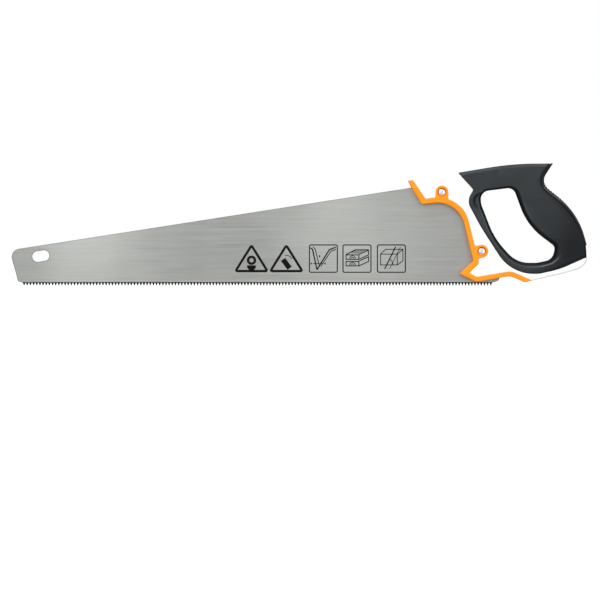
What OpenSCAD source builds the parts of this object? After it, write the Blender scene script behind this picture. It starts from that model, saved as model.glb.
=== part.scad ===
// Hand saw: a 550 mm taper blade with 7 teeth to the inch, held by two saw screws in a
// closed handle. The handle is a white core, an orange front trim, a charcoal soft grip
// and a ribbed strap down its back.
//
// Frame: millimetres. +X runs from the toe of the blade to the heel of the hand, +Z runs up
// from the tooth tips, and Y runs through the blade. The blade lies on the plane Y = 0.

/* [Blade] */
// Thickness of the blade sheet
blade_thickness = 1.0; // [0.8:0.05:1.2]
// Teeth in one inch of edge
teeth_per_inch = 7; // [6:1:8]
// Depth of a tooth from tip to gullet
tooth_depth = 3.0; // [2.4:0.1:3.2]
// Length of the toothed edge
toothed_length = 541; // [520:1:544]
// Slope of the blade's back against the tooth line, in degrees
back_slope = 8.85; // [8.6:0.05:9.1]
// Length of the hang slot near the toe
hang_slot_length = 19.6; // [16:0.2:22]
// Width of the hang slot
hang_slot_width = 12; // [9:0.2:13]

/* [Handle] */
// Thickness of the white core where it shows
core_width = 21; // [19:0.5:23]
// How far the orange trim stands proud of the core on each side
trim_proud = 0.4; // [0.2:0.1:0.8]
// Depth of the trim's seat in the core
trim_seat = 2.0; // [1.5:0.1:2.5]
// Thickness of the soft grip at its flat web
grip_width = 26; // [25:0.5:28]
// Thickness of the grip at the palm swell
palm_width = 32; // [29:0.5:34]
// Thickness of soft skin over the core at the edges
grip_skin = 3.5; // [3:0.1:4]
// Width of the parting groove between the core and the grip
grip_groove = 0.6; // [0.5:0.1:0.8]

/* [Fasteners] */
// Diameter of the screw head and of the nut's flange
head_diameter = 8.6; // [8:0.1:9.4]
// Diameter of the counterbore around each head
counterbore_diameter = 10.4; // [10:0.1:11]
// Distance from the mid plane to the counterbore's floor
counterbore_floor = 6; // [5:0.5:7]
// Diameter of the screw's shank
shank_diameter = 4; // [3.5:0.1:4.5]
// Outer diameter of the sleeve nut's barrel
barrel_diameter = 6.6; // [6:0.1:7]

/* [Hidden] */
$fn = 64;

arc_step = 9;            // degrees between the points of a rounded corner
tiny_radius = 0.05;      // the least radius that a rounded corner keeps
slack = 0.05;            // gap on each side of a seated part
over = 2;                // how far a cutting solid runs past what it cuts
half_blade = blade_thickness / 2;
half_core = core_width / 2;
half_trim = half_core + trim_proud;
half_grip = grip_width / 2;
half_palm = palm_width / 2;
half_skeleton = half_core - 3.5;
half_seat = half_core - trim_seat;
skeleton_root = 2;       // how far the grip's frame runs into the core

tooth_pitch = 25.4 / teeth_per_inch;
tooth_count = floor(toothed_length / tooth_pitch);
heel_x = 222.7;          // end of the last tooth
tooth_start = heel_x - tooth_count * tooth_pitch;

upper_bolt = [164.4, 107.3];
lower_bolt = [210.2, 39.4];
boss_radius = 7.35;
hang_slot_centre = [-297, 33.9];

// ---- Outlines: corners of [x, z, radius] in the plane of the blade ----

// The whole handle, anticlockwise from the top of its front edge
handle_outline = [
    [126.4, 120.3, 0.8], [130.9, 110.4, 60], [141.6, 94.2, 1.5], [183.2, 98, 32],
    [200.7, 28.1, 3], [184.6, 13.5, 1.2], [204, 4.2, 5], [243.9, 11, 20],
    [259.8, 3.6, 5], [300, 12.6, 120], [331.6, 21.6, 16], [330.6, 47, 12],
    [320.3, 83.5, 85], [277.2, 117.8, 13], [291.9, 140.2, 0.4], [244.3, 139.9, 350]];

// The hand opening, anticlockwise from its top left corner
opening_outline = [
    [209, 108, 10], [209.7, 93.9, 20], [224.9, 54.4, 90], [250.4, 26, 32],
    [274, 25.8, 30], [292, 29.9, 12], [295, 44.8, 6.4], [263, 68.9, 75],
    [247.1, 112.8, 9.2]];

// Where the grip meets the white core, with corners beyond the handle to close it
grip_cut_outline = [
    [176.3, 137, 0], [200.8, 110.1, 2.5], [193.4, 97.3, 15], [209.6, 67.1, 250],
    [243.8, 13.4, 48], [276, 13.3, 40], [300, 18.7, 100], [345, 38.6, 0],
    [345, 152, 0], [176.3, 152, 0]];

// Where the trim meets the white core, closed around the front and foot of the handle
boss_axis = [0.970, 0.243];
boss_side = [-0.243, 0.970];
function lower_boss_corner(side) =
    let (p = lower_bolt + boss_radius * (boss_axis + side * boss_side))
    [p.x, p.y, boss_radius - 0.1];
trim_cut_outline = [
    [121.9, 137, 0], [145.6, 99.2, 2.5], [157.1, 101.2, 2],
    [upper_bolt.x - boss_radius, upper_bolt.y + boss_radius, boss_radius - 0.1],
    [upper_bolt.x + boss_radius, upper_bolt.y + boss_radius, boss_radius - 0.1],
    [171.8, 98.9, 2], [190.6, 92.1, 34],
    [202.4, 45, 2.2], lower_boss_corner(1), lower_boss_corner(-1), [206, 30.8, 2],
    [207.2, 25.3, 2.5], [196, 14.7, 0.8], [204.3, 9.9, 4], [244, 16.5, 15],
    [274, 3, 0], [290, -10, 0], [100, -10, 0], [100, 137, 0]];

// The strap's seat: closed beyond the back of the handle, then its inner edge
strap_cut_outline = [
    [345, 46.4, 0], [345, 152, 0], [279.2, 152, 0], [281.8, 136.5, 8], [274.2, 113.2, 9],
    [312.5, 79.5, 70], [323.9, 46.4, 0]];

// Stations round the soft grip, anticlockwise from the tip of its front horn: an outer point,
// the opposite point on the hand opening, the half thickness, and how square the section is,
// from 0.3 for nearly square to 1 for an ellipse. A station given twice is a sharp corner.
front_horn = [[184, 129.2], [209.8, 103], half_grip, 0.35];
heel_corner = [[330.3, 32.4], [294.4, 40], half_grip, 0.6];
rear_horn = [[291.5, 140], [249.8, 104], half_grip, 0.35];
stations = [
    front_horn, front_horn,
    [[192, 119.5], [209.4, 101], half_grip, 0.45],
    [[200.2, 110.1], [209.2, 99.2], half_grip, 0.5],
    [[196, 101.3], [209.3, 97.2], half_grip, 0.55],
    [[195.8, 93.5], [210.4, 93.5], half_grip, 0.55],
    [[200, 84.6], [213.2, 84.6], half_grip, 0.55],
    [[208, 70.2], [219.3, 69], half_grip, 0.55],
    [[218.8, 52], [229.2, 50.5], half_grip, 0.55],
    [[230.6, 34], [241, 36.6], half_grip, 0.55],
    [[241.6, 22.8], [250, 29.6], half_grip, 0.55],
    [[254.6, 16], [259.6, 26.7], half_grip, 0.6],
    [[268, 13.6], [269.2, 26], half_grip, 0.6],
    [[281, 15], [279.5, 27.2], half_grip, 0.6],
    [[295.6, 18.3], [288.6, 29.9], half_grip, 0.6],
    [[312, 24], [292.8, 34.4], half_grip, 0.6],
    heel_corner, heel_corner,
    [[330.2, 44], [294, 44.4], half_palm - 1, 0.65],
    [[328, 54.2], [290.8, 48.1], half_palm, 0.7],
    [[323.1, 66.8], [284, 53.1], half_palm, 0.75],
    [[317.2, 78.4], [275.6, 60.2], half_palm, 0.8],
    [[309.1, 90], [267.8, 67.6], half_palm, 0.8],
    [[298.2, 101.1], [261.2, 76.2], half_palm, 0.8],
    [[287.9, 109.3], [256.7, 84.8], half_palm, 0.75],
    [[282.3, 116.4], [253.7, 91.6], half_palm - 1, 0.65],
    [[282.4, 125.6], [251.5, 98.6], half_palm - 2, 0.5],
    rear_horn, rear_horn,
    [[277, 140], [247.9, 107.8], half_grip, 0.35],
    [[262, 139.8], [245.2, 110.8], half_grip, 0.35],
    [[247, 139.2], [239.6, 112.1], half_grip, 0.35],
    [[232, 137.7], [230.6, 111], half_grip, 0.35],
    [[216, 135.4], [219.6, 109.4], half_grip, 0.35],
    [[200, 132.3], [213, 107], half_grip, 0.35]];

// The blade above its teeth, anticlockwise from the heel of the tooth line
back_top = [180.5, 120.6];
function on_back(x) = [x, back_top.y - (back_top.x - x) * tan(back_slope)];
toe_corner = on_back(-333.27);
blade_outline = [
    [heel_x + 1.6, tooth_depth + 0.2, 2], [230.2, 5.6, 5], [232.6, 14, 6], [232, 26, 8],
    [218, 44, 14], [203, 68, 80], [190, 92, 14], [186, 110, 12], [back_top.x, back_top.y, 3],
    [toe_corner.x, toe_corner.y, 9.5], [-323.9, 4.2, 2.2], [tooth_start - 1.2, 3.7, 0]];

// ---- Functions that turn corners into points ----

function flat(p) = [p.x, p.y];
function unit(v) = v / norm(v);
function cross2(a, b) = a.x * b.y - a.y * b.x;
function around(list, i) = list[(i + len(list)) % len(list)];

// The points of one corner: an arc of the corner's radius, tangent to both of its sides
function corner_points(list, i) =
    let (q = flat(list[i]), radius = list[i][2],
         u = unit(flat(around(list, i - 1)) - q), w = unit(flat(around(list, i + 1)) - q),
         half = acos(u * w) / 2, turn = 180 - 2 * half, steps = max(1, ceil(turn / arc_step)),
         centre = q + unit(u + w) * radius / sin(half),
         start = q + u * radius / tan(half) - centre,
         from = atan2(start.y, start.x), way = cross2(u, w) > 0 ? -1 : 1)
    radius == 0 ? [q] : [for (k = [0:steps])
        centre + radius * [cos(from + way * turn * k / steps),
                           sin(from + way * turn * k / steps)]];
function points_of(list) = [for (i = [0:len(list) - 1]) each corner_points(list, i)];

// An anticlockwise outline moved outwards by d, with its corner radii to match
function grow(list, d) = [for (i = [0:len(list) - 1])
    let (a = flat(around(list, i - 1)), b = flat(list[i]), c = flat(around(list, i + 1)),
         e1 = unit(b - a), e2 = unit(c - b), n1 = [e1.y, -e1.x], n2 = [e2.y, -e2.x],
         moved = b + (n1 + n2) / (1 + n1 * n2) * d,
         radius = cross2(e1, e2) > 0 ? list[i][2] + d : list[i][2] - d)
    [moved.x, moved.y, max(tiny_radius, radius)]];

// ---- Building blocks ----

// A plate of the 2D children, from y = low to y = high
module plate(low, high) {
    rotate([90, 0, 0]) translate([0, 0, -high]) linear_extrude(high - low) children();
}
module slab(outline, half) {
    plate(-half, half) polygon(points_of(outline));
}
// A round bar along Y at a point of the blade's plane
module bar(at, low, high, diameter) {
    translate([at.x, high, at.y]) rotate([90, 0, 0]) cylinder(h = high - low, d = diameter);
}

// A smooth curve's value at fraction t between b and c, from its neighbours a and d
function between(a, b, c, d, t) =
    b + t / 2 * (c - a + t * (2 * a - 5 * b + 4 * c - d + t * (3 * (b - c) + d - a)));
function same_place(a, b) = norm(a[0] - b[0]) + norm(a[1] - b[1]) == 0;
// The stations with more of them between, and none between two at the same place
function smooth(list, steps) = [for (i = [0:len(list) - 1])
    let (a = around(list, i - 1), b = list[i], c = around(list, i + 1), d = around(list, i + 2))
    if (!same_place(b, c)) for (k = [0:steps - 1])
        [for (j = [0:3]) between(a[j], b[j], c[j], d[j], k / steps)]];

function bulge(value, power) = sign(value) * pow(abs(value), power);
// The rim of one station: a rounded section across the loop and through its plane
function rim(station, sides) = [for (k = [0:sides - 1])
    let (a = 360 * (k + 0.5) / sides,
         across = bulge(cos(a), station[3]), through = bulge(sin(a), station[3]),
         p = (station[0] + station[1]) / 2 + (station[0] - station[1]) / 2 * across)
    [p.x, through * station[2], p.y]];
// A closed ring of the stations' rims, each skinned to the next
module ring(list, sides) {
    count = len(list);
    total = count * sides;
    polyhedron(
        points = [for (station = list) each rim(station, sides)],
        faces = [for (i = [0:count - 1]) for (k = [0:sides - 1])
            let (a = i * sides + k, b = i * sides + (k + 1) % sides,
                 c = (a + sides) % total, d = (b + sides) % total)
            each [[a, b, d], [a, d, c]]]);
}

// ---- Blade ----

function tooth_line() = [
    for (i = [0:tooth_count - 1]) each [
        [tooth_start + i * tooth_pitch, tooth_depth],
        [tooth_start + (i + 0.5) * tooth_pitch, 0]],
    [heel_x, tooth_depth]];

module blade() {
    color("silver") difference() {
        plate(-half_blade, half_blade) polygon(concat(points_of(blade_outline), tooth_line()));
        hang_slot();
        for (at = [upper_bolt, lower_bolt])
            bar(at, -over, over, barrel_diameter + 0.2);
    }
}
module hang_slot() {
    reach = (hang_slot_length - hang_slot_width) / 2;
    translate([hang_slot_centre.x, 0, hang_slot_centre.y]) rotate([0, -back_slope, 0]) {
        for (side = [-1, 1])
            translate([side * reach, over, 0]) rotate([90, 0, 0])
                cylinder(h = 2 * over, d = hang_slot_width);
        cube([2 * reach, 2 * over, hang_slot_width], center = true);
    }
}
// The room that the blade needs in the handle
module blade_slot() {
    slab(grow(blade_outline, 0.3), half_blade + slack);
}

// ---- Handle ----

module handle_core() {
    color("white") difference() {
        union() {
            difference() {
                slab(handle_outline, half_core);
                slab(grow(grip_cut_outline, grip_groove), half_core + over);
                slab(trim_cut_outline, half_core + over);
            }
            trim_bed();
            skeleton();
        }
        blade_slot();
        for (at = [upper_bolt, lower_bolt]) {
            bar(at, -half_core - over, half_core + over, barrel_diameter + 0.2);
            for (side = [-1, 1])
                bar(at, min(side * counterbore_floor, side * (half_core + over)),
                    max(side * counterbore_floor, side * (half_core + over)), 2 * boss_radius);
        }
    }
}
// What the trim lies on: the front of the core, set back and thinned
module trim_bed() {
    intersection() {
        slab(grow(handle_outline, -trim_seat), half_seat);
        slab(trim_cut_outline, half_core);
    }
}
// The frame of the core that runs inside the grip
module skeleton() {
    difference() {
        intersection() {
            slab(grow(handle_outline, -grip_skin), half_skeleton);
            slab(grow(grip_cut_outline, skeleton_root), half_core);
        }
        slab(grow(opening_outline, grip_skin), half_core);
        slab(grow(strap_cut_outline, 0.4), half_core);
    }
}

module front_trim() {
    color("darkorange") difference() {
        union() {
            difference() {
                intersection() {
                    slab(handle_outline, half_trim);
                    slab(trim_cut_outline, half_trim + over);
                }
                trim_bed();
            }
            for (at = [upper_bolt, lower_bolt])
                for (side = [-1, 1])
                    bar(at, min(side * counterbore_floor, side * half_trim),
                        max(side * counterbore_floor, side * half_trim), 2 * boss_radius);
        }
        blade_slot();
        for (at = [upper_bolt, lower_bolt])
            bar(at, -half_trim - over, half_trim + over, counterbore_diameter);
    }
}

// The outer form of the soft grip and its strap, a loop round the hand opening
module soft_form() {
    ring(smooth(stations, 2), 20);
}
// A small nick where the strap ends above the heel of the hand
module strap_nick() {
    bar([331, 46.3], -half_palm, half_palm, 3);
}

module soft_grip() {
    color([0.22, 0.23, 0.24]) difference() {
        soft_form();
        skeleton();
        slab(strap_cut_outline, half_palm + over);
        strap_nick();
    }
}
module back_strap() {
    color([0.17, 0.18, 0.19]) difference() {
        intersection() {
            soft_form();
            slab(strap_cut_outline, half_palm + over);
        }
        strap_nick();
    }
}

// ---- Fasteners ----

head_height = 2.6;
flange_height = 2.2;
nut_end = -counterbore_floor + 0.5;   // where the barrel stops, short of the screw's head
screw_tip = 3;

// A shape turned about Y at a point of the blade's plane, from [radius, y] points
module turned(at, profile) {
    translate([at.x, 0, at.y]) rotate([-90, 0, 0]) rotate_extrude() polygon(profile);
}
// Points of a low dome from the rim of a disc to its middle, growing away from y = base
function dome(base, radius, rise, way) = [
    for (k = [0:6]) let (a = 15 * k)
        [radius * cos(a), base + way * rise * sin(a)]];

module screw(at) {
    rim = -counterbore_floor - head_height + 1.4;
    radius = head_diameter / 2;
    color("gainsboro") difference() {
        turned(at, concat(
            [[0, screw_tip], [shank_diameter / 2 - 0.4, screw_tip],
             [shank_diameter / 2, screw_tip - 0.4], [shank_diameter / 2, -counterbore_floor],
             [radius, -counterbore_floor]],
            dome(rim, radius, 1.4, -1)));
        translate([at.x, rim - 0.1, at.y]) for (turn = [0, 90])
            rotate([0, turn + 45, 0]) cube([4.4, 2.6, 1.05], center = true);
    }
}
module nut(at) {
    rim = counterbore_floor + flange_height - 1.1;
    radius = head_diameter / 2;
    color("gainsboro") difference() {
        turned(at, concat(
            [[shank_diameter / 2 + slack, screw_tip + 1], [shank_diameter / 2 + slack, nut_end],
             [barrel_diameter / 2, nut_end], [barrel_diameter / 2, counterbore_floor],
             [radius, counterbore_floor]],
            dome(rim, radius, 1.1, 1), [[0, screw_tip + 1]]));
        translate([at.x, rim + 0.9, at.y]) rotate([0, 30, 0])
            cube([head_diameter + over, 1.8, 1.2], center = true);
    }
}

blade();
handle_core();
soft_grip();
back_strap();
front_trim();
screw(upper_bolt);  // upper_screw
screw(lower_bolt);  // lower_screw
nut(upper_bolt);  // upper_nut
nut(lower_bolt);  // lower_nut
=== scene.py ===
"""Looks for the hand saw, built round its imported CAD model.

Lengths are millimetres in the CAD frame, and metres in the last section, on the stage. X runs
from the toe of the blade to the heel of the hand, Y through the blade and Z up from the tooth
tips. mesh_object() turns the millimetres into metres.
"""
import math

import bpy
import bmesh
import numpy as np
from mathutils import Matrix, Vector
from mathutils.geometry import tessellate_polygon


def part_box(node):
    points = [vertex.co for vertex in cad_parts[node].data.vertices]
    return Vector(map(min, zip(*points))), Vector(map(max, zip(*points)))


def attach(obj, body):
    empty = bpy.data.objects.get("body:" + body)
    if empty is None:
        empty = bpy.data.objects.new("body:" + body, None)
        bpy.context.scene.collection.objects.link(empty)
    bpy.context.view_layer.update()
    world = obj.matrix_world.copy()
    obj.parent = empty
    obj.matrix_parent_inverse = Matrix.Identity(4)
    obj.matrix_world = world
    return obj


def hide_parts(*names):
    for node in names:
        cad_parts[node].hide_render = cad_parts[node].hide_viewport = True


bpy.ops.wm.read_factory_settings(use_empty=True)
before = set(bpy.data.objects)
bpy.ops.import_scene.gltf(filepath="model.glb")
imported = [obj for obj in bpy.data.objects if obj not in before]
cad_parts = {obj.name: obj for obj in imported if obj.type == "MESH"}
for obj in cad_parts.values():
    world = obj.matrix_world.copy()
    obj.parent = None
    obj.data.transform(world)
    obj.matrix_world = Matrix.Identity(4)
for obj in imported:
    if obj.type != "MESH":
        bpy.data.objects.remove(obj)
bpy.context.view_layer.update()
scene = bpy.context.scene

MM = 0.001


# ---------------------------------------------------------------- sizes from the CAD frame

def reach(node):
    """How far a CAD node reaches from the blade's mid plane, in mm."""
    low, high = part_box(node)
    return max(-low.y, high.y) / MM


def middle(node):
    """The middle of a CAD node in the blade's plane, as (x, z) in mm."""
    low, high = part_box(node)
    return ((low.x + high.x) / 2 / MM, (low.z + high.z) / 2 / MM)


HALF_BLADE = reach("blade")
HALF_CORE = reach("handle_core")
HALF_TRIM = reach("front_trim")
HALF_PALM = reach("soft_grip")
BOLTS = [middle("upper_screw"), middle("lower_screw")]
HEAD_RADIUS = 4.6
WELL_RADIUS = 4.9
WELL_FLOOR = 6.0
BOSS_RADIUS = 7.35

# ---------------------------------------------------------------- outlines
# A corner is (x, z, radius, edge): edge is how round the side after it is where it meets the
# face. Closed outlines run anticlockwise, seen with X to the right and Z up.

def edged(corners, edge):
    """Corners with the same edge after each, in place of any that they have."""
    return [(*corner[:3], edge) for corner in corners]


FRONT_EDGE = edged(
    [(125.7, 120.5, 0.5), (130.9, 110.4, 60), (141.4, 93.4, 1.5), (183.6, 98, 32),
     (200.7, 28.1, 3), (184.6, 13.5, 1.2), (204, 4.2, 5), (243.9, 11, 20)], 1.1)
FRONT_EDGE.append((259.8, 3.6, 5, 0.9))
TRIM_TIP = (268.6, 5.6, 0.3, 0.35)
(U_X, U_Z), (L_X, L_Z) = BOLTS
BOSS_ALONG = (0.970, 0.243)
BOSS_ACROSS = (-0.243, 0.970)


def lower_boss_corner(side):
    """A corner of the square round the lower boss, whose arc is the boss itself."""
    x = L_X + BOSS_RADIUS * (BOSS_ALONG[0] + side * BOSS_ACROSS[0])
    z = L_Z + BOSS_RADIUS * (BOSS_ALONG[1] + side * BOSS_ACROSS[1])
    return (x, z, BOSS_RADIUS - 0.1)


TRIM_INNER = edged(
    [(131.2, 121.2, 0.3), (145.6, 99.6, 2.5), (157.1, 101.2, 2),
     (U_X - BOSS_RADIUS, U_Z + BOSS_RADIUS, BOSS_RADIUS - 0.1),
     (U_X + BOSS_RADIUS, U_Z + BOSS_RADIUS, BOSS_RADIUS - 0.1),
     (171.8, 98.9, 2), (190.6, 92.1, 34), (202.4, 45, 2.2), lower_boss_corner(1),
     lower_boss_corner(-1), (206, 30.8, 2), (207.2, 25.3, 4.4), (196, 14.7, 0.8),
     (204.3, 9.9, 4), (244, 16.5, 15)], 0.35)
GRIP_FRONT = [
    (182.9, 129.7, 0.3, 1.5), (200.8, 110.1, 2.5, 2.2), (193.0, 97.2, 15, 3.0),
    (209.2, 66.9, 250, 3.0), (243.8, 13.4, 48, 4.2), (276, 13.3, 40, 4.2),
    (300, 18.7, 100, 4.2)]
HEEL_CORNER = (330.8, 32.3, 1.2, 4.5)
HANDLE_REAR = [
    (330.6, 47, 12, 3), (320.3, 83.5, 85, 5), (277.2, 117.8, 13, 3),
    (291.9, 140.4, 0.3, 3.4), (244.3, 139.9, 350, 3.4)]
STRAP_SEAM = [
    (330, 46.4, 0.4, 0.8), (328.7, 46.4, 0.5, 0.6), (318.8, 80.7, 84, 4.2),
    (273.2, 117.2, 15.9, 3.4), (288.3, 140.3, 0.3, 3.4)]
OPENING = [
    (209, 108, 10, 2.6), (209.7, 93.9, 20, 3.2), (224.9, 54.4, 90, 3.9), (250.4, 26.3, 32, 4.8),
    (274, 26.1, 30, 4.8), (292, 29.9, 12, 4.2), (295, 44.8, 6.4, 4.2),
    (263, 68.9, 75, 4.0), (247.1, 112.8, 9.2, 2.3)]
FOOT = [
    (300, 12.6, 120, 2.2), (324.9, 19.7, 14, 2.2), (331.3, 28.4, 9, 2.2),
    (331.0, 32.6, 0.3, 0.3)]

TINY_RADIUS = 0.03
ARC_STEP = math.radians(5)
ARC_LENGTH = 2.0
# How many places are compared with an outline at once, which bounds the memory used
BLOCK = 4000


def cross(a, b):
    return a[0] * b[1] - a[1] * b[0]


def rounded(corners, share=0.0, extra=0.0):
    """The points of a closed outline and each point's edge value.

    Every side moves inwards by share of its own edge value plus extra, and every corner keeps
    its number of points, so outlines made from the same corners can be skinned together."""
    count = len(corners)
    spots = np.array([c[:2] for c in corners], float)
    points, edges = [], []
    for i in range(count):
        before = spots[i] - spots[i - 1]
        after = spots[(i + 1) % count] - spots[i]
        before, after = before / np.linalg.norm(before), after / np.linalg.norm(after)
        edge_in, edge_out = corners[i - 1][3], corners[i][3]
        shift_in, shift_out = -share * edge_in - extra, -share * edge_out - extra
        normals = np.array([[before[1], -before[0]], [after[1], -after[0]]])
        turn = math.atan2(cross(before, after), before @ after)
        moved = spots[i] + np.linalg.solve(normals, [shift_in, shift_out])
        middle_shift = (shift_in + shift_out) / 2
        radius = max(TINY_RADIUS, corners[i][2] + math.copysign(middle_shift, turn * middle_shift))
        start = moved - before * radius * math.tan(abs(turn) / 2)
        side = math.copysign(1, turn)
        centre = start + side * radius * np.array([-before[1], before[0]])
        steps = max(2, math.ceil(abs(turn) / ARC_STEP),
                    math.ceil(abs(turn) * corners[i][2] / ARC_LENGTH))
        for k in range(steps + 1):
            c, s = math.cos(turn * k / steps), math.sin(turn * k / steps)
            arm = start - centre
            points.append(centre + np.array([c * arm[0] - s * arm[1], s * arm[0] + c * arm[1]]))
            edges.append(edge_in + (edge_out - edge_in) * k / steps)
    return np.array(points), np.array(edges)


def distances(points):
    """The distance along a line to each of its points."""
    return np.concatenate([[0], np.cumsum(np.linalg.norm(np.diff(points, axis=0), axis=1))])


def lengthwise(points):
    """A closed outline's points and the distance along it to each, ending back at the first."""
    closed = np.vstack([points, points[:1]])
    return closed, distances(closed)


def meet(places, line):
    """For each place: its distance to a line, the step of the line that it is nearest to, and
    the share of that step that it is at."""
    start, step = line[:-1], np.diff(line, axis=0)
    square = np.maximum((step ** 2).sum(1), 1e-12)
    t = np.clip(((places[:, None] - start) * step).sum(2) / square, 0, 1)
    gap = np.linalg.norm(start + t[..., None] * step - places[:, None], axis=2)
    best = gap.argmin(1)
    rows = np.arange(len(places))
    return gap[rows, best], best, t[rows, best]


def nearest(places, points, edges=None):
    """For each place: its distance to a closed outline, the edge value there, and how far along."""
    closed, along = lengthwise(points)
    found, value, where = [], [], []
    for block in np.array_split(places, max(1, len(places) // BLOCK)):
        gap, best, share = meet(block, closed)
        found.append(gap)
        where.append(along[best] + share * (along[best + 1] - along[best]))
        if edges is not None:
            value.append(edges[best] * (1 - share) + np.roll(edges, -1)[best] * share)
    return np.concatenate(found), np.concatenate(value) if value else None, np.concatenate(where)


# ---------------------------------------------------------------- meshes

def add(name, data):
    """A new object in the scene."""
    made = bpy.data.objects.new(name, data)
    scene.collection.objects.link(made)
    return made


def mesh_object(name, points, faces, material, smooth=35):
    """A closed mesh from points in mm, with normals outwards and edges over smooth degrees sharp."""
    mesh = bpy.data.meshes.new(name)
    mesh.from_pydata([Vector(p) * MM for p in points], [], faces)
    work = bmesh.new()
    work.from_mesh(mesh)
    bmesh.ops.remove_doubles(work, verts=work.verts, dist=1e-7)
    bmesh.ops.recalc_face_normals(work, faces=work.faces)
    work.to_mesh(mesh)
    work.free()
    mesh.shade_smooth()
    mesh.set_sharp_from_angle(angle=math.radians(smooth))
    mesh.materials.append(material)
    return add(name, mesh)


def places_of(piece):
    """Where a mesh's points lie in the blade's plane, in mm."""
    return np.array([(v.co.x / MM, v.co.z / MM) for v in piece.data.vertices])


def give(piece, name, values):
    """Gives a mesh one number for each of its points, for its material to read."""
    made = piece.data.attributes.new(name, "FLOAT", "POINT")
    made.data.foreach_set("value", values)


class Builder:
    """Points and faces of one mesh while it is put together."""

    def __init__(self):
        self.points, self.faces = [], []

    def loop(self, points):
        first = len(self.points)
        self.points.extend([tuple(p) for p in points])
        return list(range(first, first + len(points)))

    def skin(self, a, b):
        """Faces between two closed loops of as many points."""
        for i in range(len(a)):
            j = (i + 1) % len(a)
            self.faces.append((a[i], a[j], b[j], b[i]))

    def skins(self, rings):
        """Skins from each ring to the next."""
        for a, b in zip(rings, rings[1:]):
            self.skin(a, b)

    def cap(self, *loops):
        """A flat face inside the first loop and outside the others."""
        flat = [i for loop in loops for i in loop]
        rings = [[Vector((self.points[i][0], self.points[i][2], 0)) for i in loop]
                 for loop in loops]
        self.faces.extend(tuple(flat[i] for i in tri) for tri in tessellate_polygon(rings))

    def slab(self, points, *levels):
        """A solid with flat ends between levels of y, from one outline or one for each."""
        outlines = points if len(np.shape(points)) == 3 else [points] * len(levels)
        loops = [self.loop(at(outline, y)) for outline, y in zip(outlines, levels)]
        self.skin(*loops)
        for loop in loops:
            self.cap(loop)

    def object(self, name, material, smooth=35):
        return mesh_object(name, self.points, self.faces, material, smooth)


def at(points, y):
    """Points of the blade's plane lifted to y, one value or one each."""
    y = np.broadcast_to(y, len(points))
    return [(p[0], v, p[1]) for p, v in zip(points, y)]


def circle(centre, radius, count=72):
    a = np.arange(count) * 2 * math.pi / count
    return np.stack([centre[0] + radius * np.cos(a), centre[1] + radius * np.sin(a)], 1)


ROUND_STEPS = 4


def plate(name, corners, half, material, holes=()):
    """A plate between y = -half and half with rounded edges. A hole is (centre, radius, edge)."""
    build = Builder()
    outer, inner = [], [[] for _ in holes]
    for way in (-1, 1):
        turns = range(ROUND_STEPS, -1, -1) if way < 0 else range(ROUND_STEPS + 1)
        for k in turns:
            a = math.pi / 2 * k / ROUND_STEPS
            points, edges = rounded(corners, share=1 - math.cos(a))
            outer.append(build.loop(at(points, way * (half - edges * (1 - math.sin(a))))))
            for rings, (centre, radius, edge) in zip(inner, holes):
                ring = circle(centre, radius + edge * (1 - math.cos(a)))
                rings.append(build.loop(at(ring, way * (half - edge * (1 - math.sin(a))))))
    for rings in [outer, *inner]:
        build.skins(rings)
    for end in (0, -1):
        build.cap(outer[end], *[rings[end] for rings in inner])
    return build.object(name, material)


def turned(name, centre, profile, material):
    """A solid turned about Y at a point of the blade's plane, from (radius, y) points that
    start and end on the axis."""
    build = Builder()
    rings = [build.loop(at(circle(centre, r), y)) for r, y in profile[1:-1]]
    build.skins(rings)
    for end in (0, -1):
        tip, ring = build.loop(at([centre], profile[end][1]))[0], rings[end]
        for i, j in zip(ring, ring[1:] + ring[:1]):
            build.faces.append((tip, i, j))
    return build.object(name, material)


def carve(piece, cutter, kind="DIFFERENCE", smooth=35):
    """Cuts the second piece out of the first, or adds it, and removes the second."""
    step = piece.modifiers.new("carve", "BOOLEAN")
    step.operation, step.solver, step.object = kind, "EXACT", cutter
    bpy.context.view_layer.update()
    mesh = bpy.data.meshes.new_from_object(
        piece.evaluated_get(bpy.context.evaluated_depsgraph_get()))
    piece.modifiers.clear()
    piece.data = mesh
    mesh.name = piece.name
    mesh.shade_smooth()
    mesh.set_sharp_from_angle(angle=math.radians(smooth))
    bpy.data.objects.remove(cutter)


# ---------------------------------------------------------------- materials

def material(name, colour, roughness, metallic=0.0, **sockets):
    made = bpy.data.materials.new(name)
    made.use_nodes = True
    shader = made.node_tree.nodes["Principled BSDF"]
    shader.inputs["Base Color"].default_value = (*colour, 1)
    shader.inputs["Roughness"].default_value = roughness
    shader.inputs["Metallic"].default_value = metallic
    for socket, value in sockets.items():
        shader.inputs[socket.replace("_", " ")].default_value = value
    return made


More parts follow.
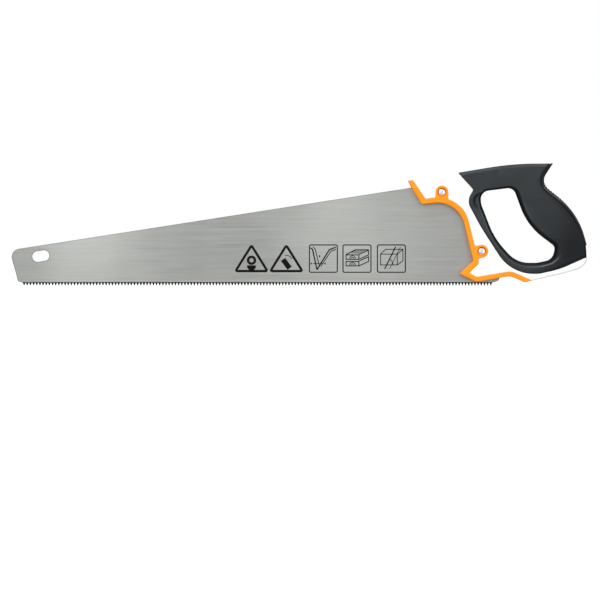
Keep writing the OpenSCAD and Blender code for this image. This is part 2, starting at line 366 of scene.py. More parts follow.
class Nodes:
    """Short names for making the nodes of a material or the world."""

    def __init__(self, made):
        self.tree = made.node_tree
        self.shader = self.tree.nodes.get("Principled BSDF")
        self.coordinates = self.new("TexCoord").outputs

    def new(self, kind):
        return self.tree.nodes.new("ShaderNode" + kind)

    def put(self, value, socket):
        if isinstance(value, bpy.types.NodeSocket):
            self.tree.links.new(value, socket)
        else:
            socket.default_value = value

    def noise(self, size, detail, stretch=(1, 1, 1)):
        """Noise from 0 to 1 whose blobs are about size mm across, times stretch along each axis."""
        shift = self.new("Mapping")
        shift.inputs["Scale"].default_value = [1 / (size * MM * s) for s in stretch]
        self.put(self.coordinates["Object"], shift.inputs["Vector"])
        node = self.new("TexNoise")
        node.inputs["Scale"].default_value = 1.0
        node.inputs["Detail"].default_value = detail
        self.put(shift.outputs["Vector"], node.inputs["Vector"])
        return node.outputs["Fac"]

    def level(self, value, low, high, to_low, to_high, kind="LINEAR"):
        """Maps low..high to to_low..to_high, held at both ends."""
        node = self.new("MapRange")
        node.interpolation_type = kind
        self.put(value, node.inputs["Value"])
        for socket, number in zip(("From Min", "From Max", "To Min", "To Max"),
                                  (low, high, to_low, to_high)):
            node.inputs[socket].default_value = number
        return node.outputs["Result"]

    def math(self, kind, a, b=0.0):
        node = self.new("Math")
        node.operation = kind
        self.put(a, node.inputs[0])
        self.put(b, node.inputs[1])
        return node.outputs[0]

    def mix(self, factor, a, b):
        """Colour a turning into colour b as factor goes from 0 to 1."""
        node = self.new("Mix")
        node.data_type = "RGBA"
        self.put(factor, node.inputs["Factor"])
        self.put((*a, 1) if isinstance(a, tuple) else a, node.inputs[6])
        self.put((*b, 1) if isinstance(b, tuple) else b, node.inputs[7])
        return node.outputs[2]

    def blend(self, value, low, high, a, b, most=1.0):
        """Colour a turning into colour b by as much as most, as value goes from low to high."""
        return self.mix(self.level(value, low, high, 0, most), a, b)

    def attribute(self, name):
        node = self.new("Attribute")
        node.attribute_name = name
        return node.outputs["Fac"]

    def axis(self, index, of="Object"):
        """One axis of a place, or with "Normal" of the way that the surface faces."""
        node = self.new("SeparateXYZ")
        self.put(self.coordinates[of], node.inputs[0])
        return node.outputs[index]

    def bump(self, height, depth, strength=1.0):
        """Bump of depth mm at strength."""
        node = self.new("Bump")
        node.inputs["Strength"].default_value = strength
        node.inputs["Distance"].default_value = depth * MM
        self.put(height, node.inputs["Height"])
        self.put(node.outputs["Normal"], self.shader.inputs["Normal"])

    def colour(self, value):
        self.put(value, self.shader.inputs["Base Color"])

    def roughness(self, value):
        self.put(value, self.shader.inputs["Roughness"])


def ground_steel():
    """Satin sheet ground along its length, dark hardened teeth and painted shade along the rim."""
    made = material("ground_steel", (0.4, 0.41, 0.38), 0.4, 1.0)
    n = Nodes(made)
    fine = n.noise(0.14, 2, (90, 1, 1))
    coarse = n.noise(0.9, 3, (70, 1, 1))
    cloud = n.noise(75, 1.5, (1, 1, 1.6))
    tone = n.blend(cloud, 0.3, 0.7, (0.325, 0.333, 0.318), (0.378, 0.386, 0.37))
    tone = n.blend(coarse, 0.3, 0.7, tone, (0.47, 0.477, 0.46), 0.35)
    tone = n.blend(fine, 0.35, 0.65, tone, (0.31, 0.315, 0.304), 0.3)
    # Painted shade: the narrow rim along the edge and the slot is darkened, as a rounded edge shades
    tone = n.blend(n.attribute("rim"), 0.25, 1, tone, (0.16, 0.163, 0.156), 0.75)
    height = n.axis(2)
    ragged = n.math("ADD", height, n.math("MULTIPLY", n.noise(1.2, 2), 0.5 * MM))
    above = n.level(ragged, 4.7 * MM, 6.4 * MM, 0.4, 0)
    tone = n.mix(above, tone, (0.56, 0.56, 0.54))
    hard = n.level(ragged, 3.9 * MM, 4.7 * MM, 1, 0)
    tone = n.mix(hard, tone, (0.016, 0.017, 0.019))
    n.colour(tone)
    n.roughness(n.level(n.math("ADD", fine, coarse), 0.7, 1.3, 0.3, 0.44))
    n.bump(n.math("ADD", n.math("MULTIPLY", fine, 0.5), coarse), 0.012, 0.5)
    return made


# The rubber's colour where its painted light and wear is 1 and -1, as shares of its colour at 0.
# At 1 it is painted highlight, partly wear; on the grip, -1 is painted shade.
HIGHLIGHT_AND_POLISH = (4.5, 4.4, 4.3)
DARK_END = (0.12, 0.18, 0.23)


def moulded(name, colour, shade, roughness, grain, depth, painted_wall_shade=1.0, paints_light_and_wear=False, **sockets):
    """Moulded plastic or rubber: a fine grain from the mould and a slow drift in tone. Its walls,
    where the surface turns from the blade's faces, can take painted shade: a share of the darker
    tone, with highlights weakened by the same share. It can also take painted light and wear
    from a mesh attribute: paler towards 1, darker towards -1."""
    made = material(name, colour, roughness, **sockets)
    n = Nodes(made)
    tone = n.blend(n.noise(28, 2), 0.3, 0.7, colour, shade)
    if paints_light_and_wear:
        # Paler towards 1 (painted highlight, partly wear), darker towards -1 (painted shade on the
        # grip)
        light_and_wear = n.attribute("light_and_wear")
        tone = n.blend(light_and_wear, 0, 1, tone, tuple(p * c for p, c in zip(HIGHLIGHT_AND_POLISH, colour)))
        tone = n.mix(n.level(light_and_wear, -1, 0, 1, 0), tone, tuple(p * c for p, c in zip(DARK_END, shade)))
    # Painted shade: walls turning from the faces darken and lose highlight, as edges falling into
    # shade
    if painted_wall_shade < 1:
        facing = n.math("ABSOLUTE", n.axis(1, "Normal"))
        shaded_wall_tone = tuple(painted_wall_shade * c for c in shade)
        tone = n.blend(facing, 0.3, 0.75, shaded_wall_tone, tone)
        shine = n.shader.inputs["Specular IOR Level"]
        n.put(n.level(facing, 0.3, 0.75, painted_wall_shade * shine.default_value, shine.default_value), shine)
    n.colour(tone)
    fine, broad = n.noise(grain, 2), n.noise(grain * 6, 2)
    n.roughness(n.level(broad, 0.3, 0.7, roughness - 0.05, roughness + 0.06))
    n.bump(n.math("ADD", fine, n.math("MULTIPLY", broad, 0.4)), depth, 0.6)
    return made


def plated_metal():
    """Bright plated screw metal with fine turning marks."""
    made = material("plated_metal", (0.86, 0.87, 0.88), 0.24, 1.0)
    n = Nodes(made)
    marks = n.noise(0.25, 2)
    n.colour(n.blend(marks, 0.4, 0.8, (0.9, 0.905, 0.91), (0.74, 0.75, 0.77)))
    n.roughness(n.level(marks, 0.3, 0.7, 0.2, 0.32))
    n.bump(marks, 0.006, 0.3)
    return made


def print_ink():
    """Black ink laid on steel, thin in places."""
    made = material("print_ink", (0.006, 0.006, 0.006), 0.75, Specular_IOR_Level=0.05)
    n = Nodes(made)
    n.colour(n.blend(n.noise(0.5, 3), 0.55, 0.8, (0.005, 0.005, 0.005), (0.02, 0.02, 0.02)))
    n.roughness(n.level(n.noise(1.5, 2), 0.3, 0.7, 0.65, 0.85))
    n.bump(n.noise(0.3, 2), 0.01, 0.4)
    return made


STEEL = ground_steel()
WHITE = moulded("white_polypropylene", (0.86, 0.86, 0.855), (0.83, 0.83, 0.825), 0.36, 0.35, 0.012)
ORANGE = moulded("orange_rubber", (1.0, 0.29, 0.002), (0.97, 0.265, 0.001), 0.5, 0.3, 0.015,
                 Specular_IOR_Level=0.25)
CHARCOAL = moulded("charcoal_rubber", (0.0245, 0.028, 0.031), (0.0205, 0.0235, 0.026), 0.5, 0.28, 0.03,
                   painted_wall_shade=0.12, paints_light_and_wear=True, Specular_IOR_Level=0.22)
STRAP = moulded("strap_rubber", (0.026, 0.0295, 0.0325), (0.021, 0.024, 0.0265), 0.48, 0.28, 0.03,
                painted_wall_shade=0.5, paints_light_and_wear=True, Specular_IOR_Level=0.3)
PLATED = plated_metal()
INK = print_ink()

# ---------------------------------------------------------------- blade

TOOTH_PITCH = 25.4 / 7
TOOTH_COUNT = 149
TOOTH_DEPTH = 3.4
TOOTH_BEVEL = 0.16
TOOTH_SET = 0.2
TIP_WIDTH = 0.5
HEEL_X = 222.7
TOOTH_START = HEEL_X - TOOTH_COUNT * TOOTH_PITCH
BACK_SLOPE = math.radians(8.85)
BACK_TOP = (180.5, 120.6)
TOE_X = -332.9
TOE_TOP = BACK_TOP[1] - (BACK_TOP[0] - TOE_X) * math.tan(BACK_SLOPE)
RIM = 1.2
SLOT_RIM = RIM + 0.5
SHEET_EDGE = 0.3
SLOT_CENTRE = (-297, 33.9)
SLOT_LENGTH = 19.6
SLOT_WIDTH = 12.0
BARREL_RADIUS = 3.4
TOOTH_GAP = 0.05

BLADE_EDGE = [
    (HEEL_X, TOOTH_DEPTH, 0.05, 0.1),
    *edged([(HEEL_X + 1.6, TOOTH_DEPTH + 0.2, 0.8), (230.2, 5.6, 5), (232.6, 14, 6),
            (232, 26, 8), (218, 44, 14), (203, 68, 80), (190, 92, 14), (186, 110, 12),
            (*BACK_TOP, 3), (TOE_X, TOE_TOP, 9.5), (-323.1, 4.2, 2.2)], SHEET_EDGE),
    (TOOTH_START - 1.2, 3.7, 0.5, 0.1), (TOOTH_START, TOOTH_DEPTH, 0.05, 0.1)]


def tooth_points(face):
    """The tooth line on one face, -1 or 1, as points (x, y, z), four to a tooth, with the
    places of each tooth's two tip points in it.

    Each tooth is ground back on one face and bent out towards the other, turn about."""
    points, tips = [], []
    for i in range(TOOTH_COUNT):
        full = (1 if i % 2 else -1) == face
        lean = TOOTH_SET if i % 2 else -TOOTH_SET
        bevel = 0 if full else TOOTH_BEVEL
        start = TOOTH_START + i * TOOTH_PITCH
        y = face * HALF_BLADE
        points.append((start + bevel + TOOTH_GAP, y, TOOTH_DEPTH))
        tip, low = start + TOOTH_PITCH / 2, 0.0 if full else 0.2
        tips.extend([len(points), len(points) + 1])
        points.append((tip - TIP_WIDTH / 2, y + lean, low))
        points.append((tip + TIP_WIDTH / 2, y + lean, low + 0.1))
        points.append((start + TOOTH_PITCH - bevel - TOOTH_GAP, y, TOOTH_DEPTH))
    return points, tips


def hang_slot(grow=0.0, count=20):
    """The outline of the round-ended slot at the toe, grown outwards."""
    radius = SLOT_WIDTH / 2 + grow
    points = []
    for end in (1, -1):
        for k in range(count + 1):
            a = math.pi * (k / count - 0.5) + (0 if end > 0 else math.pi)
            points.append((end * (SLOT_LENGTH - SLOT_WIDTH) / 2 + radius * math.cos(a),
                           radius * math.sin(a)))
    (x0, z0), c, s = SLOT_CENTRE, math.cos(BACK_SLOPE), math.sin(BACK_SLOPE)
    return np.array([(x0 + c * x - s * z, z0 + s * x + c * z) for x, z in points])


def make_blade():
    """The sheet with its teeth. On each face a narrow rim follows the edge and the slot."""
    build = Builder()
    front, tips = tooth_points(-1)
    back, _ = tooth_points(1)
    front, back = np.array(front), np.array(back)
    plain = [i for i in range(len(front)) if i not in tips]
    rings, holes = [], [[] for _ in range(1 + len(BOLTS))]
    turns = [(-1, 90), (-1, 45), (-1, 0), (1, 0), (1, 45), (1, 90)]
    shares = [0, 0.06, 0.12, 0.88, 0.94, 1]
    for (way, degrees), share in zip(turns, shares):
        a = math.radians(degrees)
        points, edges = rounded(BLADE_EDGE, share=1 - math.cos(a))
        loop = at(points, way * (HALF_BLADE - edges * (1 - math.sin(a))))
        loop.extend(map(tuple, front * (1 - share) + back * share))
        rings.append(build.loop(loop))
        grow = SHEET_EDGE * (1 - math.cos(a))
        y = way * (HALF_BLADE - SHEET_EDGE * (1 - math.sin(a)))
        outlines = [hang_slot(grow)] + [circle(bolt, BARREL_RADIUS + grow) for bolt in BOLTS]
        for hole, outline in zip(holes, outlines):
            hole.append(build.loop(at(outline, y)))
    for loops in [rings, *holes]:
        build.skins(loops)
    edge_count = len(rounded(BLADE_EDGE)[0])
    inset, _ = rounded(BLADE_EDGE, extra=RIM + SHEET_EDGE)
    for end, y, line in ((0, -HALF_BLADE, front), (-1, HALF_BLADE, back)):
        ring = rings[end]
        keep = ring[:edge_count] + [ring[edge_count + i] for i in plain]
        inner = build.loop(at(inset, y) + [(line[i][0], y, TOOTH_DEPTH + RIM) for i in plain])
        build.skin(keep, inner)
        for i in tips[::2]:
            build.faces.append(tuple(ring[edge_count + i + j] for j in (-1, 0, 1, 2)))
        slot = build.loop(at(hang_slot(SLOT_RIM), y))
        build.skin(holes[0][end], slot)
        build.cap(inner, slot, holes[1][end], holes[2][end])
    blade = build.object("saw_blade", STEEL, smooth=15)
    places = places_of(blade)
    gap = np.minimum(nearest(places, rounded(BLADE_EDGE)[0])[0], nearest(places, hang_slot())[0])
    # Marks the rim that the material darkens as painted shade of the rounded edge
    give(blade, "rim", np.where(gap < RIM / 2, 1.0, 0.0))
    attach(blade, "root")
    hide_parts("blade")


# ---------------------------------------------------------------- print on the blade

INK_DEPTH = 0.04
INK_SINK = 0.01


class Print:
    """Flat ink shapes on the face of the blade that the screws are on, as thin closed solids."""

    def __init__(self):
        self.build = Builder()
        self.corner = np.zeros(2)

    def shape(self, outline, *holes):
        """A filled outline with holes, placed from the corner."""
        outlines = [np.asarray(points) + self.corner for points in (outline, *holes)]
        loops = []
        for y in (-HALF_BLADE - INK_DEPTH, -HALF_BLADE + INK_SINK):
            loops.append([self.build.loop(at(points, y)) for points in outlines])
        for a, b in zip(*loops):
            self.build.skin(a, b)
        for side in loops:
            self.build.cap(*side)

    def frame(self, corners, width):
        """The stroke of a closed outline, drawn inwards from its corners."""
        self.shape(rounded(corners)[0], rounded(corners, extra=width)[0])

    def line(self, points, width):
        """A stroke with round ends through some points."""
        points = [np.array(p, float) for p in points]
        left, right = [], []
        for i, p in enumerate(points):
            before = points[i] - points[i - 1] if i else points[1] - points[0]
            after = points[i + 1] - points[i] if i < len(points) - 1 else before
            before, after = before / np.linalg.norm(before), after / np.linalg.norm(after)
            side = np.array([-(before + after)[1], (before + after)[0]])
            side = side / (side @ side) * 2 if side @ side else np.zeros(2)
            left.append(p + side * width / 2)
            right.append(p - side * width / 2)
        self.shape(right + left[::-1])


def arc(centre, radius, start, end, count=14):
    """Points along an arc, with its angles in degrees."""
    return [(centre[0] + radius * math.cos(math.radians(start + (end - start) * k / count)),
             centre[1] + radius * math.sin(math.radians(start + (end - start) * k / count)))
            for k in range(count + 1)]


def oblong(x0, z0, x1, z1, radius=0.1):
    """The corners of a rectangle."""
    return edged([(x0, z0, radius), (x1, z0, radius), (x1, z1, radius), (x0, z1, radius)], 1)


def triangle_mark(ink, x):
    """A rounded triangle frame."""
    half_base, low, high = 20.9, 15.2, 48.7
    ink.frame(edged([(x - half_base, low, 2.6), (x + half_base, low, 2.6), (x, high, 2.6)], 1), 2.8)


def square_mark(ink, x):
    """A rounded square frame, from whose lower left corner later strokes are placed."""
    side, low = 33.4, 14.6
    ink.corner = np.array([x, low])
    ink.frame(oblong(0, 0, side, side - 0.7, 2.5), 1.25)


def make_print():
    ink = Print()
    # A round washer over a half disc
    triangle_mark(ink, -54.5)
    ink.shape(circle((-54.5, 29.0), 5.4, 40), circle((-54.5, 29.0), 2.5, 32))
    ink.shape(arc((-54.5, 22.4), 5.2, 180, 360) + [(-49.3, 23.2), (-59.7, 23.2)])
    # A short block on its side, with a swing line over it
    triangle_mark(ink, -14.4)
    ink.shape([(-20.6, 28.2), (-13.0, 18.0), (-8.2, 21.6), (-15.8, 31.8)])
    ink.line(arc((-14.8, 27), 7.8, 28, 100), 0.9)
    # A sawn notch: two slopes that meet, with its width and depth marked
    square_mark(ink, 11.5)
    ink.line([(1.8, 28.8), (4.2, 27), (9.4, 3.6)], 1.5)
    ink.line([(4.6, 30.2), (7.4, 27), (11.6, 9.4)], 1.0)
    ink.line([(9.4, 3.6), (23.6, 26.6), (31, 29.4)], 1.5)
    ink.line([(13.8, 7.4), (25.6, 25), (31.4, 27)], 1.0)
    ink.line([(5, 10.6), (16.5, 10.6)], 0.8)
    for tip, way in ((4.2, -1), (17.2, 1)):
        ink.shape([(tip, 10.6), (tip + 2.2 * way, 9.3), (tip + 2.2 * way, 11.9)][::-way])
    ink.shape([(12.3, 17.4), (13.7, 20), (10.9, 20)])
    # Two boards stacked, with end grain
    square_mark(ink, 50.2)
    for lift in (0, 7.6):
        ink.frame(oblong(3.6, 7.4 + lift, 19.4, 13.6 + lift), 1.1)
        ink.line([(19, 8 + lift), (30, 13 + lift), (30, 18.5 + lift), (19, 13.5 + lift)], 1.1)
        for radius in (1.8, 3.6):
            ink.line(arc((11.5, 8.4 + lift), radius, 5, 175, 8), 0.8)
    ink.line([(4, 21), (15, 26.5), (30, 26.5)], 1.1)
    for k in range(4):
        ink.line([(7 + 3.5 * k, 22.2), (15.5 + 3.5 * k, 25.8)], 0.7)
    # A square and a slanting guide line over a board
    square_mark(ink, 89.8)
    ink.frame(oblong(3.8, 8.6, 24, 22), 0.95)
    ink.line([(23.6, 21.6), (30, 27), (30, 14), (23.6, 9)], 0.95)
    ink.line([(4.2, 21.6), (10, 27), (30, 27)], 0.95)
    ink.line([(9, 4.4), (21.6, 30)], 1.3)
    ink.line([(14.6, 4.4), (27.2, 30)], 0.7)
    ink.line(arc((11.2, 9), 7.4, 2, 60, 8), 0.9)
    piece = ink.build.object("blade_print", INK)
    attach(piece, "root")


# ---------------------------------------------------------------- handle: hard and trim parts

# How far the blade's slot is from the blade, on each face and round its outline
SLOT_GAP = 0.06
SLOT_ROOM = 0.25
SKELETON_HALF = 7
# How far the core's frame stays from the hand opening
OPENING_WALL = 3.5


def blade_slot():
    """A cutter as thick as the blade's slot, for the parts that the blade runs into."""
    corners = edged([(x, z, max(radius, 0.3)) for x, z, radius, _ in BLADE_EDGE[1:-1]], 0.02)
    build = Builder()
    points, _ = rounded(corners, extra=-SLOT_ROOM)
    build.slab(points, -HALF_BLADE - SLOT_GAP, HALF_BLADE + SLOT_GAP)
    return build.object("blade_slot", WHITE)


def make_trim():
    corners = FRONT_EDGE + [TRIM_TIP] + TRIM_INNER[::-1]
    trim = plate("orange_trim", corners, HALF_TRIM, ORANGE,
                 [(bolt, WELL_RADIUS, 0.5) for bolt in BOLTS])
    carve(trim, blade_slot())
    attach(trim, "root")
    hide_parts("front_trim")


def make_core():
    """The white part that shows, the frame that runs inside the grip, and the well floors."""
    under_grip, inner = edged(GRIP_FRONT[::-1], 0.3), edged(TRIM_INNER, 0.3)
    inner.append((*TRIM_TIP[:3], 2.2))
    under_grip[-1] = (*under_grip[-1][:3], 2.0)
    core = plate("white_core", inner + FOOT + under_grip, HALF_CORE, WHITE)
    frame_corners = edged(
        [(178, 124, 1), (204, 96, 12), (216, 66, 200), (247, 17.5, 44), (276, 17, 36),
         (300, 22.4, 90), (322, 33, 4), (320, 44, 10), (308, 80, 80), (271, 113, 9),
         (278, 135.5, 2), (244, 135.5, 300)], 0.5)
    skeleton = plate("skeleton", frame_corners, SKELETON_HALF, WHITE)
    grown, _ = rounded(edged(OPENING, 0.5), extra=-OPENING_WALL)
    build = Builder()
    build.slab(grown, -SKELETON_HALF - 2, SKELETON_HALF + 2)
    carve(skeleton, build.object("hole", WHITE))
    carve(core, skeleton, "UNION")
    for bolt in BOLTS:
        floor = turned("floor", bolt, [(0, -WELL_FLOOR), (WELL_RADIUS + 1.2, -WELL_FLOOR),
                                       (WELL_RADIUS + 1.2, WELL_FLOOR), (0, WELL_FLOOR)], WHITE)
        carve(core, floor, "UNION")
    carve(core, blade_slot())
    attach(core, "root")
    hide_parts("handle_core")
    return core


# ---------------------------------------------------------------- handle: soft parts

WEB_HALF = 12.0
PALM_AXIS = [(312, 32), (305, 56), (292, 77), (276, 94), (262, 108), (254, 124)]
PALM_REACH = 26.0
PALM_SPOTS = [0.0, 0.3, 0.6, 0.8, 1.0]
PALM_SHARES = [-0.1, 0.35, 0.85, 1.0, 0.85]
CREST_GAP = 3.6
STRUT_LEAN = 0.16
REST = (210.5, 97.0)
REST_SIZE = (10.7, 10.2)
REST_DEPTH = 2.6
REST_LIP = 0.35
BEAD = [(268, 21.0), (279.2, 22), (290.7, 25.2), (297.3, 30.2), (301.4, 35.1)]
BEAD_HEIGHT = 0.9
# How deep the soft parts fall to the opening, and how round that fall is (1 is straight)
INNER_DEPTH = 9.0
DRAFT_POWER = 1.2
TOP_BEVEL = 2.2
STRAP_ROUND = 1.7
STRAP_DROP = 1.7


def fillet(gap, radius):
    """From 0 at an edge to 1 at radius or more from it, as a quarter circle rises."""
    t = np.clip(gap / np.maximum(radius, 1e-6), 0, 1)
    return np.sqrt(np.maximum(0, 1 - (1 - t) ** 2))


def draft(gap, width):
    """From 0 at an edge to 1 at width or more from it: a nearly straight slope, then a crest."""
    t = 1 - np.clip(gap / width, 0, 1)
    return (1 - t ** DRAFT_POWER) ** (1 / DRAFT_POWER)


def path_gap(places, path):
    """Each place's distance to an open path, and how far along the path it is, from 0 to 1."""
    path = np.array(path, float)
    along = distances(path)
    gap, best, share = meet(places, path)
    return gap, (along[best] + share * (along[best + 1] - along[best])) / along[-1]


def bell(gap, width):
    return np.exp(-(gap / width) ** 2)


def ease(value, low, high):
    t = np.clip((value - low) / (high - low), 0, 1)
    return t * t * (3 - 2 * t)


HANDLE_OUTLINE, HANDLE_EDGES = rounded(GRIP_FRONT + [HEEL_CORNER] + HANDLE_REAR)
OPENING_OUTLINE, OPENING_EDGES = rounded(OPENING)
SEAM_OUTLINE, SEAM_EDGES = rounded(
    GRIP_FRONT + [HEEL_CORNER] + STRAP_SEAM + HANDLE_REAR[-1:])


def strut_zone(x, z):
    """1 on the strut in front of the hand, fading to 0 behind and above it."""
    return (1 - ease(x, 238, 300)) * (1 - ease(z, 88, 102))


def bottom_zone(x, z):
    """1 on the bar below the hand."""
    return (1 - ease(z, 34, 44)) * ease(x, 225, 262)


def top_zone(z):
    """1 along the top edge of the handle."""
    return ease(z, 124, 128)


def rest_gap(x, z):
    """How far a place is from the middle of the finger rest, where 1 is the rest's edge."""
    return np.hypot((x - REST[0]) / REST_SIZE[0], (z - REST[1]) / REST_SIZE[1])


def relief(places, on_strap=False):
    """Half the thickness of the soft parts at places in the blade's plane."""
    x, z = places.T
    outer, outer_edge, _ = nearest(places, HANDLE_OUTLINE, HANDLE_EDGES)
    inner, inner_edge, _ = nearest(places, OPENING_OUTLINE, OPENING_EDGES)
    palm, along = path_gap(places, PALM_AXIS)
    crown = np.clip(1 - (palm / PALM_REACH) ** 2, 0, 1)
    crown *= np.interp(along, PALM_SPOTS, PALM_SHARES)
    height = WEB_HALF + (HALF_PALM - WEB_HALF) * crown
    # The strut in front of the hand leans back from a crest beside the opening
    strut = strut_zone(x, z)
    height -= strut * STRUT_LEAN * np.clip(inner - CREST_GAP, 0, 20)
    height += (0.4 * strut + 0.7 * bottom_zone(x, z)) * bell(inner - CREST_GAP, 1.2)
    # A bead below the opening, on the palm's side
    gap, along = path_gap(places, BEAD)
    height += BEAD_HEIGHT * bell(gap, 1.5) * np.sin(np.pi * np.clip(along, 0.04, 0.96)) ** 0.5
    # The finger rest at the top of the front strut
    rest = rest_gap(x, z)
    height -= REST_DEPTH * (1 - ease(rest, 0.72, 1.0))
    height += REST_LIP * bell(rest - 1.05, 0.1)
    # The outer edge is round, but bevelled along the top and nearly square under the ribs
    top = top_zone(z)
    ribbed = (1 - ease(z, 112, 120)) if on_strap else 0
    radius = outer_edge + (STRAP_ROUND - outer_edge) * ribbed
    bevel = TOP_BEVEL * np.clip(1 - outer / outer_edge, 0, 1)
    height -= radius * (1 - fillet(outer, radius)) * (1 - 0.7 * top) + bevel * top
    height -= STRAP_DROP * ribbed
    height -= INNER_DEPTH * (1 - draft(inner, inner_edge))
    return height


def tracks(a, b, pairs):
    """For each of two outlines: its closed points, the distance to each, and the pairs' places."""
    return [(*lengthwise(line), nearest(np.array([pair[k] for pair in pairs], float), line)[2])
            for k, line in enumerate((a, b))]


def points_at(closed, along, where):
    return np.stack([np.interp(where, along, closed[:, j]) for j in (0, 1)], 1)


def pair_up(a, b, pairs, spacing):
    """Points round outline a, and their partners on outline b, through pairs of points."""
    lines = tracks(a, b, pairs)
    found = ([], [])
    for i in range(len(pairs)):
        spans = []
        for _, along, spots in lines:
            start, end = spots[i], spots[(i + 1) % len(pairs)]
            spans.append((start, end if end > start else end + along[-1]))
        steps = max(2, math.ceil(max(end - start for start, end in spans) / spacing))
        for (closed, along, _), (start, end), points in zip(lines, spans, found):
            where = (start + (end - start) * np.arange(steps) / steps) % along[-1]
            points.append(points_at(closed, along, where))
    return [np.concatenate(points) for points in found]


def open_pairs(a, b, pairs, spacing):
    """Like pair_up, from the first pair to the last, with how far along each pair is."""
    lines = tracks(a, b, pairs)
    steps = np.maximum(*[np.abs(np.diff(spots)) for _, _, spots in lines])
    travel = np.concatenate([[0], np.cumsum(steps)])
    t = np.linspace(0, travel[-1], math.ceil(travel[-1] / spacing) + 1)
    t = np.unique(np.concatenate([t, travel]))
    return [points_at(closed, along, np.interp(t, travel, spots))
            for closed, along, spots in lines] + [t]


GRIP_PAIRS = [
    ((182.9, 129.7), (209.6, 102.5)), ((192, 119.7), (209.5, 100.8)),
    ((199.9, 110.2), (209.3, 99)), ((196.4, 102), (209.4, 97)),
    ((195.6, 95), (210.2, 94.2)), ((200, 84.6), (213.2, 85)),
    ((208, 70), (219.3, 69)), ((219, 52), (229.5, 50.5)), ((231, 34), (241, 36.6)),
    ((242, 23), (250, 29.6)), ((255, 16), (259.6, 26.7)), ((268, 13.6), (269.2, 26)),
    ((281, 15), (279.5, 27.2)), ((296, 18.3), (288.2, 29.6)), ((312, 23.8), (292.6, 34)),
    ((330.8, 32.3), (294.4, 40)), ((330.2, 46.4), (294, 44)), ((328.9, 46.4), (293.4, 45.4)),
    ((326.5, 54.2), (290.8, 48.1)), ((321.8, 66.4), (284, 53.1)), ((315.8, 77.8), (275.6, 60.2)),
    ((307.6, 89), (267.8, 67.6)), ((297, 99), (261.2, 76.2)), ((286.2, 107.6), (256.7, 84.8)),
    ((278.6, 115.6), (253.7, 91.6)), ((280, 126.6), (251.5, 98.6)), ((288.3, 140.3), (249.2, 105.4)),
    ((275, 140.1), (247.4, 108.6)),
    ((262, 139.8), (244.6, 110.6)), ((247, 139.2), (238, 112)), ((232, 137.7), (230, 111)),
    ((216, 135.4), (219.6, 109.4)), ((200, 132.3), (213, 107))]
FACE_POINTS = 44
WALL_POINTS = 4
STATION_GAP = 1.0


def spread(count):
    """From 0 to 1 in count steps, close together at both ends."""
    return (1 - np.cos(np.pi * np.arange(count + 1) / count)) / 2


def between(a, b, share):
    """Places from each point of a to its partner on b, at each share of the way."""
    share = share[:, None]
    return (a[:, None] * (1 - share) + b[:, None] * share).reshape(-1, 2)


def paint_light_and_wear(grip):
    """Paints light and shade into the rubber, as a value from 1 (pale) to -1 (dark). Crests beside
    the opening are partly wear and partly painted highlight, the top edge and the bead get painted
    highlights, the front strut is paler, and the lower rear of the palm, the strap's seam and the
    finger rest get painted shade. It is right only in soft light from the front."""
    places = places_of(grip)
    x, z = places.T
    inner, wall, _ = nearest(places, OPENING_OUTLINE, OPENING_EDGES)
    seam, _, _ = nearest(places, SEAM_OUTLINE)
    outer, _, _ = nearest(places, HANDLE_OUTLINE)
    bead, along = path_gap(places, BEAD)
    # Pale crest beside the opening: partly wear, partly painted highlight
    ridge = bell(inner - wall - 0.3, 0.9)
    light_and_wear = 0.33 * ridge * np.maximum(strut_zone(x, z), bottom_zone(x, z)) * (1 - ease(x, 266, 276))
    # Painted shade: darker towards the lower rear of the palm, beside the strap's seam and by the heel
    low = 1 - ease(z, 118, 130)
    light_and_wear -= low * (0.2 * ease(x, 262, 290) + 0.5 * ease(x, 288, 316))
    light_and_wear -= low * ease(x, 262, 290) * 0.3 * (1 - ease(seam, 0, 10))
    light_and_wear -= 0.35 * ease(x, 280, 296) * (1 - ease(z, 45, 80))
    # Paler on the front strut
    light_and_wear += 0.09 * (1 - ease(x, 250, 290)) * (1 - ease(z, 88, 102))
    # Painted highlight along the bevelled top edge
    edge = 0.13 + 0.16 * ease(x, 262, 282) + 0.12 * (1 - ease(x, 184, 200))
    light_and_wear += edge * top_zone(z) * bell(outer - 1.6, 1.2)
    # Painted shade round the finger rest's edge
    light_and_wear -= 0.4 * bell(rest_gap(x, z) - 0.84, 0.15) * (1 - ease(x, 205, 214))
    # Painted highlight along the bead below the opening
    shine = bell(bead, 1.3) * ease(along, -0.15, 0.4) * (1 - ease(along, 0.7, 1.1))
    light_and_wear = light_and_wear * (1 - shine) + shine
    give(grip, "light_and_wear", light_and_wear)


